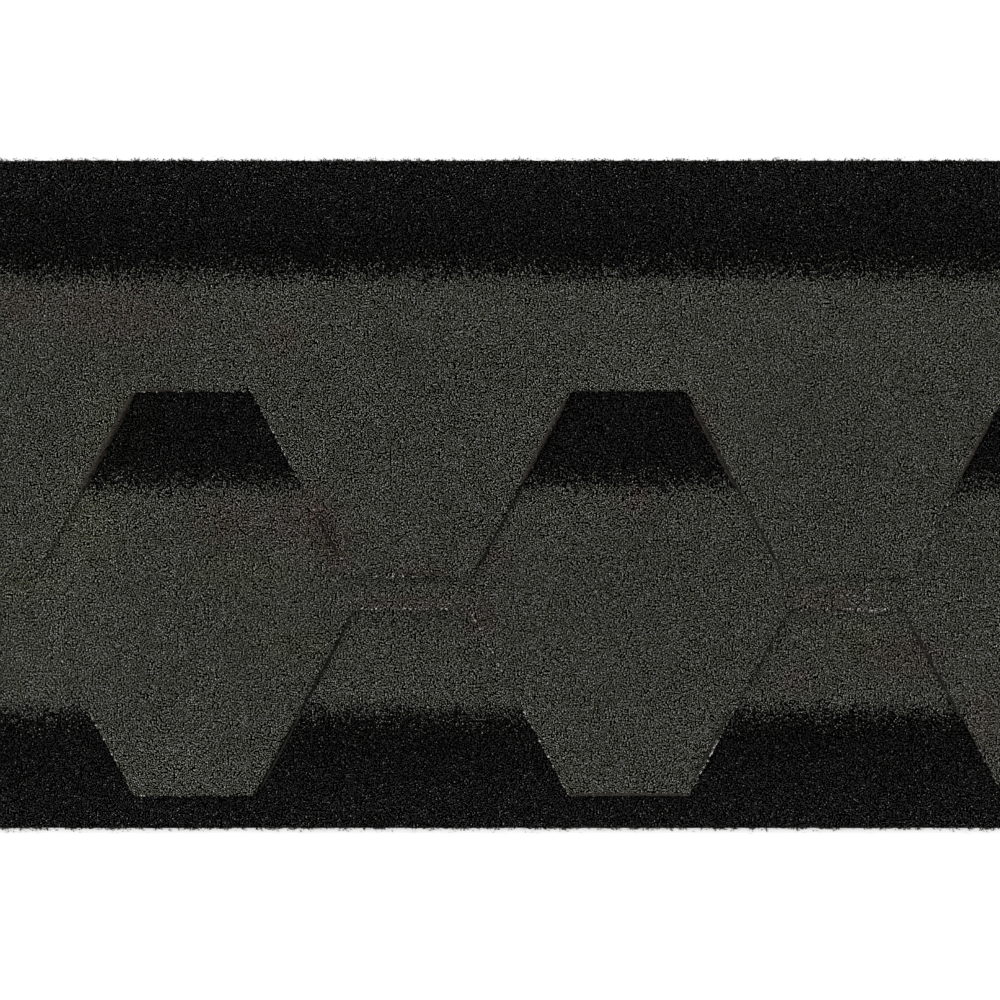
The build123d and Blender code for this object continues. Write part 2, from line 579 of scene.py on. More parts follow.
def open_to_view(strip, sizes, x, y, margin):
    """Whether places on a strip lie clear of the strips over it by a margin."""
    clear = np.ones(np.shape(x), bool)
    for cover in strip.over:
        clear &= inset_depth(cover, sizes, x, y) < -margin
    return clear


def smooth_step(value):
    """Eases from zero to one."""
    value = np.clip(value, 0, 1)
    return value ** 3 * (10 - 15 * value + 6 * value ** 2)


def fallen_share(sizes, x, y):
    """Share of its rise that the top sheet has lost past the head and the left end of the sheet below."""
    past_head = (y - FIRST_HIGH.y - sizes.drape_lead) / sizes.drape_run
    past_end = (FIRST_LOW.x - x - sizes.drape_lead) / sizes.drape_run
    return 1 - (1 - smooth_step(past_head)) * (1 - smooth_step(past_end))


def deselect_everything():
    """Leaves edit mode and the selection."""
    if bpy.context.mode != "OBJECT":
        bpy.ops.object.mode_set(mode="OBJECT")
    bpy.ops.object.select_all(action="DESELECT")


def activate(piece):
    """Makes a piece the only selected and active one."""
    deselect_everything()
    piece.select_set(True)
    bpy.context.view_layer.objects.active = piece


def added(name):
    """The object that was just added, under its name."""
    piece = bpy.context.active_object
    piece.name = name
    piece.data.name = name
    return piece


def apply_place(piece):
    """Puts a piece's place, turn and scale into its mesh."""
    activate(piece)
    bpy.ops.object.transform_apply(location=True, rotation=True, scale=True)


def apply_modifier(piece, kind, **settings):
    """Adds a modifier to a piece and applies it."""
    activate(piece)
    modifier = piece.modifiers.new(kind.lower(), kind)
    for name, value in settings.items():
        setattr(modifier, name, value)
    bpy.ops.object.modifier_apply(modifier=modifier.name)


def select_parts(piece, kind, wanted):
    """Selects, in edit mode, the vertices, edges or faces of a piece that are wanted."""
    activate(piece)
    bpy.ops.object.mode_set(mode="EDIT")
    bpy.ops.mesh.select_mode(type={"verts": "VERT", "edges": "EDGE", "faces": "FACE"}[kind])
    bpy.ops.mesh.select_all(action="DESELECT")
    mesh = bmesh.from_edit_mesh(piece.data)
    for part in getattr(mesh, kind):
        if wanted(part):
            part.select_set(True)
    mesh.select_flush_mode()
    bmesh.update_edit_mesh(piece.data)


def corner_offset(sizes, radius):
    """How far from a corner of the outline a rounding of that radius starts."""
    turn = math.pi / 2 - math.atan(slant(sizes))
    return radius * math.tan(turn / 2)


def cutout_punches(strip, sizes):
    """The punches that cut a strip's cut-outs: a tapered block with rounded root corners, in a row."""
    deselect_everything()
    reach = sizes.tab_depth + CUT_OVERRUN
    wide = cutout_mouth(sizes) + 2 * slant(sizes) * CUT_OVERRUN
    bpy.ops.mesh.primitive_cube_add(size=1, location=(0, sizes.tab_depth - reach / 2, 0))
    punch = added("cutout_punches")
    punch.scale = (wide, reach, 2 * CUT_OVERRUN)
    apply_place(punch)
    select_parts(punch, "verts", lambda corner: corner.co.y > 0)
    bpy.ops.transform.resize(value=(sizes.cutout_root_width / wide, 1, 1), center_override=(0, 0, 0))

    def on_root_corner(edge):
        upright = abs(edge.verts[0].co.z - edge.verts[1].co.z) > CUT_OVERRUN
        return upright and all(corner.co.y > 0 for corner in edge.verts)

    select_parts(punch, "edges", on_root_corner)
    bpy.ops.mesh.bevel(offset=corner_offset(sizes, sizes.cutout_root_radius), segments=ROUND_SEGMENTS)
    deselect_everything()
    if strip.turned:
        punch.rotation_euler.z = math.pi
    x, y = strip.to_world(0, 0)
    punch.location = (x, y, strip.top)
    apply_place(punch)
    apply_modifier(
        punch, "ARRAY", count=sizes.tab_count + 1, use_relative_offset=False, use_constant_offset=True,
        constant_offset_displace=(tab_pitch(sizes), 0, 0))
    return punch


def strip_blank(strip, sizes):
    """A block with the strip's outline, a little thicker than the sheet, its cut edges sloped on top."""
    deselect_everything()
    bpy.ops.mesh.primitive_cube_add(size=1)
    blank = added("strip_blank")
    high = strip.top + BLANK_OVERRUN
    low = strip.top - SHEET_THICKNESS - BLANK_OVERRUN
    blank.location = ((strip.low.x + strip.high.x) / 2, (strip.low.y + strip.high.y) / 2, (low + high) / 2)
    blank.scale = (STRIP_LENGTH, STRIP_HEIGHT, high - low)
    apply_place(blank)
    punches = cutout_punches(strip, sizes)
    apply_modifier(blank, "BOOLEAN", operation="DIFFERENCE", object=punches, solver="EXACT")
    bpy.data.objects.remove(punches)
    tiny = BLANK_OVERRUN / 10

    def on_tip_corner(edge):
        upright = abs(edge.verts[0].co.z - edge.verts[1].co.z) > SHEET_THICKNESS
        return upright and all(strip.from_tips(corner.co.y) < tiny for corner in edge.verts)

    select_parts(blank, "edges", on_tip_corner)
    bpy.ops.mesh.bevel(offset=corner_offset(sizes, sizes.tab_tip_radius), segments=ROUND_SEGMENTS)

    def on_cut_rim(edge):
        ends = [corner.co for corner in edge.verts]
        at_top = all(high - end.z < tiny for end in ends)
        at_head = all(STRIP_HEIGHT - strip.from_tips(end.y) < tiny for end in ends)
        at_left = all(end.x - strip.low.x < tiny for end in ends)
        at_right = all(strip.high.x - end.x < tiny for end in ends)
        return at_top and not (at_head or at_left or at_right)

    select_parts(blank, "edges", on_cut_rim)
    bpy.ops.mesh.bevel(offset=sizes.crushed_edge + BLANK_OVERRUN, segments=1, clamp_overlap=False)
    deselect_everything()
    return blank


def cut_sheet(strip, sizes):
    """The flat sheet, meshed finely enough to be draped, cut to the strip's outline."""
    deselect_everything()
    length = STRIP_LENGTH + 2 * CUT_OVERRUN
    height = STRIP_HEIGHT + 2 * CUT_OVERRUN
    cells_along = round(length / sizes.sheet_cell)
    cells_up = round(height / sizes.sheet_cell)
    bpy.ops.mesh.primitive_grid_add(x_subdivisions=cells_along, y_subdivisions=cells_up, size=1)
    sheet = added(strip.name + "_sheet")
    sheet.location = ((strip.low.x + strip.high.x) / 2, (strip.low.y + strip.high.y) / 2, strip.top)
    sheet.scale = (length, height, 1)
    apply_place(sheet)
    apply_modifier(sheet, "SOLIDIFY", thickness=SHEET_THICKNESS, offset=-1)
    blank = strip_blank(strip, sizes)
    apply_modifier(sheet, "BOOLEAN", operation="INTERSECT", object=blank, solver="MANIFOLD")
    bpy.data.objects.remove(blank)
    return sheet


def refine_open_faces(sheet, strip, sizes):
    """Halves the cells of the coat where it is open to view."""
    def open_coat(face):
        if face.normal.z < COAT_SLOPE:
            return False
        middle = face.calc_center_median()
        return bool(open_to_view(strip, sizes, middle.x, middle.y, -sizes.sheet_cell))

    select_parts(sheet, "faces", open_coat)
    bpy.ops.mesh.subdivide(number_cuts=1)
    deselect_everything()


def weight_group(sheet, name, weights):
    """A vertex group with the given weights."""
    group = sheet.vertex_groups.new(name=name)
    for index, weight in enumerate(weights):
        if weight > 0:
            group.add([index], float(weight), "REPLACE")
    return group.name


def corners_of(sheet):
    """Places of a sheet's vertices."""
    places = np.empty(len(sheet.data.vertices) * 3)
    sheet.data.vertices.foreach_get("co", places)
    return places.reshape(-1, 3)


def cloud_texture(name, scale, cloud_type="GRAYSCALE"):
    """A soft noise for relief."""
    clouds = bpy.data.textures.new(name, "CLOUDS")
    clouds.cloud_type = cloud_type
    clouds.noise_scale = scale
    clouds.noise_depth = 1
    return clouds


def shape_sheet(sheet, strip, sizes):
    """Roughens a sheet's head, waves what is free to lift, drapes the top sheet and adds the coat's lumps."""
    x, y, z = corners_of(sheet).T
    on_coat = z > strip.top - LUMP_DEPTH_SHARE * SHEET_THICKNESS
    in_view = open_to_view(strip, sizes, x, y, LUMP_MARGIN)
    rim_share = np.clip(inset_depth(strip, sizes, x, y) / LUMP_RIM, LUMP_RIM_SHARE, 1)
    lifted = np.zeros(len(x)) if strip.turned else np.ones(len(x))
    for cover in strip.over:
        lifted *= np.clip(-inset_depth(cover, sizes, x, y) / WAVE_FADE, 0, 1)
    at_head = STRIP_HEIGHT - strip.from_tips(y) < RAGGED_DEPTH
    way = -1 if strip.turned else 1

    ragged = weight_group(sheet, "ragged", at_head.astype(float))
    apply_modifier(
        sheet, "DISPLACE", texture=cloud_texture("ragged_head", RAGGED_SCALE), strength=RAGGED_REACH * way,
        mid_level=RAGGED_MIDDLE, direction="Y", vertex_group=ragged)
    wave = weight_group(sheet, "wave", lifted)
    coat = weight_group(sheet, "coat", on_coat * in_view * rim_share)
    apply_modifier(
        sheet, "DISPLACE", texture=cloud_texture("slow_wave", WAVE_SCALE), strength=sizes.sheet_wave,
        mid_level=0.0, direction="Z", vertex_group=wave)
    if not strip.over:
        fall = weight_group(sheet, "fall", fallen_share(sizes, x, y))
        apply_modifier(
            sheet, "DISPLACE", strength=-SECOND_RISE, mid_level=0.0, direction="Z", vertex_group=fall)
    apply_modifier(
        sheet, "DISPLACE", texture=cloud_texture("coat_lumps", LUMP_SCALE), strength=sizes.coat_relief,
        mid_level=0.5, direction="NORMAL", vertex_group=coat)
    sheet.vertex_groups.clear()


def new_material(name):
    """An empty material with its output and its shader."""
    material = bpy.data.materials.new(name)
    material.use_nodes = True
    tree = material.node_tree
    tree.nodes.clear()
    output = tree.nodes.new("ShaderNodeOutputMaterial")
    shader = tree.nodes.new("ShaderNodeBsdfPrincipled")
    tree.links.new(shader.outputs["BSDF"], output.inputs["Surface"])
    return material, tree, shader


def add_node(tree, kind, inputs=None, **settings):
    """A node with its settings, its inputs set to numbers or linked to sockets."""
    node = tree.nodes.new("ShaderNode" + kind)
    for name, value in settings.items():
        setattr(node, name, value)
    for key, value in (inputs or {}).items():
        if isinstance(value, bpy.types.NodeSocket):
            tree.links.new(value, node.inputs[key])
        else:
            node.inputs[key].default_value = value
    return node


def math_node(tree, operation, first, second):
    """The outcome of one sum."""
    node = add_node(tree, "Math", {0: first, 1: second}, operation=operation)
    return node.outputs[0]


def map_range(tree, value, source, target):
    """A value carried from one range to another, and held inside it."""
    node = add_node(tree, "MapRange", {
        "Value": value, "From Min": source[0], "From Max": source[1],
        "To Min": target[0], "To Max": target[1]})
    return node.outputs["Result"]


def level_colours(levels, tint):
    """Colours of the brightness levels: the tint shows most in the darkest granules."""
    strengths = np.array(TINT_STRENGTHS)[:, None]
    return np.array(levels)[:, None] * (1 - strengths * (1 - np.array(tint)))


def ramp(tree, value, shares, levels):
    """A ramp through the levels, greys or colours, at the shares."""
    node = add_node(tree, "ValToRGB", {"Fac": value})
    stops = node.color_ramp.elements
    while len(stops) < len(shares):
        stops.new(1.0)
    for stop, share, level in zip(stops, shares, levels):
        stop.position = share
        stop.color = (*np.broadcast_to(level, 3), 1)
    return node.outputs["Color"]


def tinted(tree, colour, tint):
    """A colour times a tint."""
    node = add_node(tree, "VectorMath", {0: colour, 1: tint}, operation="MULTIPLY")
    return node.outputs["Vector"]


def scaled(tree, colour, factor):
    """A colour or a place times a number."""
    node = add_node(tree, "VectorMath", {0: colour, "Scale": factor}, operation="SCALE")
    return node.outputs["Vector"]


def mixed(tree, factor, first, second):
    """The first colour where the factor is zero, and the second where it is one."""
    node = add_node(tree, "Mix", {"Factor": factor}, data_type="RGBA")
    for name, colour in (("A", first), ("B", second)):
        socket = [socket for socket in node.inputs if socket.name == name and socket.type == "RGBA"][0]
        tree.links.new(colour, socket)
    return [socket for socket in node.outputs if socket.type == "RGBA"][0]


def add_bumps(tree, shader, pattern, strength, height):
    """Gives a shader the bumps of a pattern."""
    bump = add_node(tree, "Bump", {"Height": pattern, "Strength": strength, "Distance": height})
    tree.links.new(bump.outputs["Normal"], shader.inputs["Normal"])


def set_gloss(shader, roughness, gloss):
    """Makes a shader as rough and as glossy all over."""
    shader.inputs["Roughness"].default_value = roughness
    shader.inputs["Specular IOR Level"].default_value = gloss


def granule_coat(strip, finish):
    """Granules pressed into bitumen: each with its own brightness, dark ones in a band along the head."""
    material, tree, shader = new_material(strip.name + "_coat")
    place = add_node(tree, "TexCoord").outputs["Object"]
    swirl = add_node(tree, "TexNoise", {"Vector": place, "Scale": SWIRL_SCALE, "Detail": 1.0})
    swirl = scaled(tree, swirl.outputs["Color"], SWIRL_REACH)
    packed = add_node(tree, "VectorMath", {0: place, 1: swirl}, operation="ADD")
    cells = add_node(
        tree, "TexVoronoi", {"Vector": packed.outputs["Vector"], "Scale": 1 / finish.granule_size},
        feature="F1", voronoi_dimensions="2D")
    chance = add_node(tree, "SeparateColor", {"Color": cells.outputs["Color"]})
    place_y = add_node(tree, "SeparateXYZ", {"Vector": place}).outputs["Y"]

    if strip.turned:
        from_head = math_node(tree, "SUBTRACT", place_y, strip.low.y)
    else:
        from_head = math_node(tree, "SUBTRACT", strip.high.y, place_y)
    wander = add_node(tree, "TexNoise", {"Vector": place, "Scale": WANDER_SCALE, "Detail": 3.0})
    drift = map_range(tree, wander.outputs["Fac"], WIDE_NOISE_SPAN, (-WANDER_REACH, WANDER_REACH))
    seam_start = strip.band - SEAM_IN_BAND * finish.seam_width
    seam_end = strip.band + (1 - SEAM_IN_BAND) * finish.seam_width
    in_seam = map_range(tree, math_node(tree, "ADD", from_head, drift), (seam_start, seam_end), (0.0, 1.0))
    pale_chance = ramp(tree, in_seam, SEAM_SHARES, SEAM_CHANCES)
    is_pale = math_node(tree, "LESS_THAN", chance.outputs["Green"], pale_chance)

    brightness = chance.outputs["Red"]
    pale = ramp(tree, brightness, LEVEL_SHARES, level_colours(finish.pale_levels, finish.pale_tint))
    dark = ramp(tree, brightness, LEVEL_SHARES, level_colours(finish.dark_levels, finish.dark_tint))
    gain = map_range(tree, from_head, (0.0, BAND_GAIN_SHARE * strip.band), (strip.head_gain, strip.seam_gain))
    granule = mixed(tree, is_pale, scaled(tree, dark, gain), pale)
    # Tints of the stains and of the painted shade and light, kept on the mesh
    stain = add_node(tree, "Attribute", attribute_name="stain")
    granule = tinted(tree, granule, stain.outputs["Color"])

    # Painted light and shade across each granule: bright in its middle, black in the crevices round it
    painted_granule_shade = map_range(tree, cells.outputs["Distance"], CORE_SHARES, (CORE_GAIN, 0.0))
    patches = add_node(tree, "TexNoise", {"Vector": place, "Scale": PATCH_SCALE, "Detail": 2.0})
    patch = map_range(tree, patches.outputs["Fac"], NOISE_SPAN, PATCH_GAINS)
    colour = scaled(tree, granule, math_node(tree, "MULTIPLY", painted_granule_shade, patch))
    tree.links.new(colour, shader.inputs["Base Color"])

    dome = map_range(tree, cells.outputs["Distance"], DOME_SHARES, (1.0, 0.0))
    stand = map_range(tree, chance.outputs["Blue"], (0.0, 1.0), (LOWEST_DOME_SHARE, 1.0))
    add_bumps(tree, shader, math_node(tree, "MULTIPLY", dome, stand), strength=0.8, height=DOME_HEIGHT)
    roughness = map_range(tree, chance.outputs["Blue"], (0.0, 1.0), GRANULE_ROUGHNESS)
    tree.links.new(roughness, shader.inputs["Roughness"])
    shader.inputs["Specular IOR Level"].default_value = 0.0
    return material


def cut_bitumen(finish):
    """The punched face: brown-grey bitumen and felt with fine mineral filler."""
    material, tree, shader = new_material("cut_bitumen")
    place = add_node(tree, "TexCoord").outputs["Object"]
    filler = add_node(
        tree, "TexNoise", {"Vector": place, "Scale": FILLER_SCALE, "Detail": 4.0, "Roughness": 0.7})
    level = ramp(tree, filler.outputs["Fac"], FILLER_SHARES, FILLER_LEVELS)
    tree.links.new(tinted(tree, level, tuple(finish.cut_face)), shader.inputs["Base Color"])
    add_bumps(tree, shader, filler.outputs["Fac"], strength=0.5, height=FILLER_HEIGHT)
    set_gloss(shader, roughness=0.75, gloss=0.2)
    return material


def sanded_back(finish):
    """The back: bitumen dusted with fine sand."""
    material, tree, shader = new_material("sanded_back")
    place = add_node(tree, "TexCoord").outputs["Object"]
    sand = add_node(tree, "TexVoronoi", {"Vector": place, "Scale": SAND_SCALE}, feature="F1")
    grain = add_node(tree, "SeparateColor", {"Color": sand.outputs["Color"]})
    patches = add_node(tree, "TexNoise", {"Vector": place, "Scale": DUST_SCALE, "Detail": 5.0})
    dusted = map_range(tree, patches.outputs["Fac"], NOISE_SPAN, DUST_GAINS)
    level = scaled(tree, ramp(tree, grain.outputs["Red"], SAND_SHARES, SAND_LEVELS), dusted)
    tree.links.new(tinted(tree, level, tuple(finish.back_sand)), shader.inputs["Base Color"])
    add_bumps(tree, shader, sand.outputs["Distance"], strength=0.5, height=SAND_HEIGHT)
    set_gloss(shader, roughness=0.85, gloss=0.2)
    return material


def stain_and_shade_coat(sheet, finish):
    """Keeps the tints of the stains and of the painted shade and light in an attribute of the mesh, the
    stains blotchy.
    """
    rng = np.random.default_rng(finish.granule_seed + STAIN_DRAWS)
    x, y = corners_of(sheet).T[:2]
    tint = np.ones((len(x), 4))
    for middle_x, middle_y, reach_x, reach_y, colour in STAINS_SHADE_AND_LIGHT:
        share = np.exp(-((x - middle_x) / reach_x) ** 2 - ((y - middle_y) / reach_y) ** 2)
        blotches = 1 if colour in SHADE_AND_LIGHT_TINTS else rng.uniform(0, 2, len(x))
        tint[:, :3] *= 1 + (share * blotches)[:, None] * (np.array(colour) - 1)
    stain = sheet.data.attributes.new("stain", "FLOAT_COLOR", "POINT")
    stain.data.foreach_set("color", tint.ravel())


def finish_sheet(sheet, strip, finish, cut, back):
    """Gives the coat, the cut faces and the back their materials, by the way that the faces look."""
    stain_and_shade_coat(sheet, finish)
    sheet.data.materials.clear()
    for material in (granule_coat(strip, finish), cut, back):
        sheet.data.materials.append(material)
    for face in sheet.data.polygons:
        if face.normal.z < BACK_SLOPE:
            face.material_index = BACK_INDEX
        elif face.normal.z < CUT_SLOPE:
            face.material_index = CUT_INDEX
    activate(sheet)
    bpy.ops.object.shade_smooth_by_angle(angle=SMOOTH_ANGLE)


def granule_pattern():
    """One granule, a small uneven crystal: its corners and its faces."""
    deselect_everything()
    bpy.ops.mesh.primitive_cone_add(
        vertices=3, radius1=GRANULE_RADIUS, depth=GRANULE_HEIGHT, end_fill_type="TRIFAN")
    granule = added("granule_pattern")
    select_parts(
        granule, "verts", lambda corner: corner.co.z < 0 and corner.co.xy.length < GRANULE_RADIUS / 2)
    bpy.ops.transform.translate(value=BASE_PULL)
    select_parts(granule, "verts", lambda corner: corner.co.z > 0)
    bpy.ops.transform.translate(value=TIP_PULL)
    deselect_everything()
    corners = corners_of(granule)
    faces = np.array([list(face.vertices) for face in granule.data.polygons])
    bpy.data.objects.remove(granule)
    return corners, faces


def random_turns(count, rng):
    """Turns in every direction, as matrices."""
    spin = rng.normal(size=(count, 4))
    a, b, c, d = (spin / np.linalg.norm(spin, axis=1, keepdims=True)).T
    rows = [
        [a * a + b * b - c * c - d * d, 2 * (b * c - a * d), 2 * (b * d + a * c)],
        [2 * (b * c + a * d), a * a - b * b + c * c - d * d, 2 * (c * d - a * b)],
        [2 * (b * d - a * c), 2 * (c * d + a * b), a * a - b * b - c * c + d * d],
    ]
    return np.moveaxis(np.array(rows), 2, 0)


def joined_granules(name, places, widths, tones, rng):
    """One mesh of many granules, each uneven, turned its own way and off the floor, with its colour kept."""
    corners, faces = granule_pattern()
    count = len(places)
    uneven = rng.uniform(*UNEVENNESS, (count, len(corners), 1))
    turned = np.einsum("nij,nkj->nki", random_turns(count, rng), corners * uneven)
    points = turned * widths[:, None, None] + places[:, None, :]
    points[..., 2] -= np.minimum(points[..., 2].min(axis=1, keepdims=True), 0)
    rings = faces[None] + len(corners) * np.arange(count)[:, None, None]
    mesh = bpy.data.meshes.new(name)
    mesh.from_pydata(points.reshape(-1, 3).tolist(), [], rings.reshape(-1, faces.shape[1]).tolist())
    tone = mesh.attributes.new("tone", "FLOAT_COLOR", "POINT")
    colours = np.ones((count, len(corners), 4))
    colours[..., :3] = tones[:, None, :]
    tone.data.foreach_set("color", colours.ravel())
    piece = bpy.data.objects.new(name, mesh)
    bpy.context.scene.collection.objects.link(piece)
    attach(piece, "root")
    return piece


def loose_granule():
    """A granule on its own, with the colour that its mesh keeps."""
    material, tree, shader = new_material("loose_granule")
    tone = add_node(tree, "Attribute", attribute_name="tone")
    tree.links.new(tone.outputs["Color"], shader.inputs["Base Color"])
    set_gloss(shader, roughness=0.8, gloss=0.05)
    return material


def granule_tones(strip, finish, y, rng):
    """Colours of granules on a strip: pale or dark by the band that they lie in."""
    head = strip.low.y if strip.turned else strip.high.y
    in_seam = (np.abs(head - y) - strip.band) / finish.seam_width + SEAM_IN_BAND
    is_pale = rng.random(len(y)) < np.interp(in_seam, SEAM_SHARES, SEAM_CHANCES)
    share = rng.uniform(*PROUD_LEVEL_SHARES, len(y))
    tones = []
    for levels, tint in ((finish.pale_levels, finish.pale_tint), (finish.dark_levels, finish.dark_tint)):
        channels = level_colours(levels, tint).T
        tones.append(np.stack([np.interp(share, LEVEL_SHARES, channel) for channel in channels], 1))
    return np.where(is_pale[:, None], *tones)


def laid_sheets():
    """A search tree over the three sheets, to find what lies below a place."""
    corners = []
    faces = []
    for name in SHEETS:
        mesh = bpy.data.objects[name].data
        start = len(corners)
        corners.extend(corner.co.copy() for corner in mesh.vertices)
        faces.extend([start + index for index in face.vertices] for face in mesh.polygons)
    return BVHTree.FromPolygons(corners, faces)


def heights_below(tree, x, y):
    """Height of the topmost surface at each place, the floor where there is no sheet."""
    heights = np.zeros(len(x))
    for index in range(len(x)):
        above = Vector((x[index], y[index], LOOK_DOWN_HEIGHT))
        hit = tree.ray_cast(above, Vector((0, 0, -1)))[0]
        if hit is not None:
            heights[index] = hit.z
    return heights


class OBJECT_OT_scatter_granules(bpy.types.Operator):
    """Stand proud granules on the coat that is open to view"""

    bl_idname = "object.scatter_granules"
    bl_label = "Scatter proud granules"

    def execute(self, context):
        sizes = context.scene.strip_sizes
        finish = context.scene.strip_finish
        rng = np.random.default_rng(finish.granule_seed)
        tree = laid_sheets()
        material = loose_granule()
        for strip in lay_up(finish):
            tries = round(finish.proud_granules * STRIP_LENGTH * STRIP_HEIGHT)
            x = rng.uniform(strip.low.x, strip.high.x, tries)
            y = rng.uniform(strip.low.y, strip.high.y, tries)
            uncovered = open_to_view(strip, sizes, x, y, PROUD_COVER_MARGIN)
            keep = uncovered & (inset_depth(strip, sizes, x, y) > PROUD_EDGE_MARGIN)
            x = x[keep]
            y = y[keep]
            widths = finish.granule_size * rng.uniform(*PROUD_WIDTH_SHARES, len(x))
            z = heights_below(tree, x, y) + widths * rng.uniform(*PROUD_LIFT_SHARES, len(x))
            tones = granule_tones(strip, finish, y, rng)
            piece = joined_granules(strip.name + "_granules", np.stack([x, y, z], 1), widths, tones, rng)
            piece.data.materials.append(material)
        return {"FINISHED"}


def cut_run(strip, sizes, cutout, side):
    """Start and end of one side of a cut-out, or of the tab tip after it, and the way out of the sheet."""
    middle = cutout * tab_pitch(sizes)
    mouth = cutout_mouth(sizes) / 2
    root = sizes.cutout_root_width / 2
    depth = sizes.tab_depth
    out = np.array((1, -slant(sizes))) / math.hypot(1, slant(sizes))
    down = np.array((0.0, -1.0))
    runs = {
        "left": ((middle - mouth, 0), (middle - root, depth), out),
        "right": ((middle + mouth, 0), (middle + root, depth), out * (-1, 1)),
        "root": ((middle - root, depth), (middle + root, depth), down),
        "tip": ((middle + mouth, 0), (middle + tab_pitch(sizes) - mouth, 0), down),
    }
    start, end, way_out = runs[side]
    corner = np.array(strip.to_world(0, 0))
    return corner + start, corner + end, way_out


def clumps(along, rng):
    """A slow random wave along an edge, from zero to one."""
    wave = np.zeros(len(along))
    for length in CLUMP_LENGTHS:
        wave += np.sin(2 * math.pi * (along / length + rng.random()))
    return np.clip(0.5 + CLUMP_SWING * wave, 0, 1)


def worn_run(wear, finish, sizes):
    """Start and end of a worn part of an edge, and the way out of the sheet, for one row of the wear."""
    strip = [strip for strip in lay_up(finish) if strip.name == wear.strip][0]
    start, end, way_out = cut_run(strip, sizes, wear.cutout, wear.side)
    run = end - start
    start = start - wear.inset * way_out
    return start + wear.low * run, start + wear.high * run, way_out


class OBJECT_OT_chip_edges(bpy.types.Operator):
    """Lay broken, whitish granules along the punched edges; some just outside an edge are partly painted
    light over its shadow
    """

    bl_idname = "object.chip_edges"
    bl_label = "Chip the cut edges"

    def execute(self, context):
        sizes = context.scene.strip_sizes
        finish = context.scene.strip_finish
        rng = np.random.default_rng(finish.granule_seed + CHIP_DRAWS)
        tree = laid_sheets()
        places = []
        for wear in EDGE_WEAR:
            if wear.kind != "chips":
                continue
            start, end, way_out = worn_run(wear, finish, sizes)
            length = np.linalg.norm(end - start)
            share = rng.random(round(length / wear.size))
            share = share[rng.random(len(share)) < clumps(share * length, rng)]
            reach = rng.uniform(*CHIP_REACH, len(share))
            x, y = (start + share[:, None] * (end - start) + reach[:, None] * way_out).T
            z = heights_below(tree, x, y) + CHIP_LIFT
            places.append(np.stack([x, y, z], 1))
        places = np.concatenate(places)
        level = rng.uniform(*CHIP_LEVELS, len(places)) ** CHIP_CONTRAST
        tones = level[:, None] * np.array(finish.chip_tint)
        widths = rng.uniform(*CHIP_WIDTHS, len(places))
        piece = joined_granules("edge_chips", places, widths, tones, rng)
        piece.data.materials.append(loose_granule())
        return {"FINISHED"}


def plain_bitumen(name, colour):
    """Smooth bitumen, smeared or squeezed out along an edge; as the dark seams it is partly painted shadow.
    """
    material, tree, shader = new_material(name)
    place = add_node(tree, "TexCoord").outputs["Object"]
    smear = add_node(tree, "TexNoise", {"Vector": place, "Scale": SMEAR_SCALE, "Detail": 3.0})
    level = ramp(tree, smear.outputs["Fac"], SMEAR_SHARES, SMEAR_LEVELS)
    tree.links.new(tinted(tree, level, tuple(colour)), shader.inputs["Base Color"])
    add_bumps(tree, shader, smear.outputs["Fac"], strength=0.6, height=SMEAR_HEIGHT)
    set_gloss(shader, roughness=0.8, gloss=0.05)
    return material


def sheets_together():
    """A copy of the three sheets in one mesh, for ribbons to be laid on."""
    deselect_everything()
    for name in SHEETS:
        sheet = bpy.data.objects[name]
        sheet.select_set(True)
        bpy.context.view_layer.objects.active = sheet
    bpy.ops.object.duplicate()
    bpy.ops.object.join()
    return added("sheets_together")


def wear_ribbon(start, end, width, sheets):
    """A ribbon of bitumen along a run: a narrow grid, pinched at its ends and ragged, laid on the sheets."""
    along = end - start
    length = np.linalg.norm(along)
    deselect_everything()
    cells_along = max(FEWEST_RIBBON_CELLS, round(length / RIBBON_CELL))
    bpy.ops.mesh.primitive_grid_add(
        x_subdivisions=cells_along, y_subdivisions=RIBBON_CELLS_ACROSS, size=1)
    ribbon = added("wear_ribbon")
    ribbon.scale = (length, width, 1)
    apply_place(ribbon)
    for share, pinch in RIBBON_PINCH_SHARES:
        select_parts(ribbon, "verts", lambda corner: abs(corner.co.x) > share * length)
        bpy.ops.transform.resize(value=(1, pinch, 1), center_override=(0, 0, 0))
    deselect_everything()
    ribbon.rotation_euler.z = math.atan2(along[1], along[0])
    middle = (start + end) / 2
    ribbon.location = (middle[0], middle[1], RIBBON_START)
    apply_place(ribbon)
    apply_modifier(
        ribbon, "DISPLACE", texture=cloud_texture("ragged_ribbon", RIBBON_RAGGED_SCALE, "COLOR"),
        strength=width, mid_level=0.5, direction="RGB_TO_XYZ")
    apply_modifier(
        ribbon, "SHRINKWRAP", target=sheets, wrap_method="PROJECT", use_project_z=True,
        use_positive_direction=False, use_negative_direction=True)
    if corners_of(ribbon)[:, 2].max() > CAD_BOX[1][2] + RIBBON_RISE:
        raise RuntimeError("a ribbon of bitumen reaches past the sheets")
    apply_modifier(ribbon, "SOLIDIFY", thickness=RIBBON_THICKNESS, offset=RIBBON_OFFSET)
    return ribbon


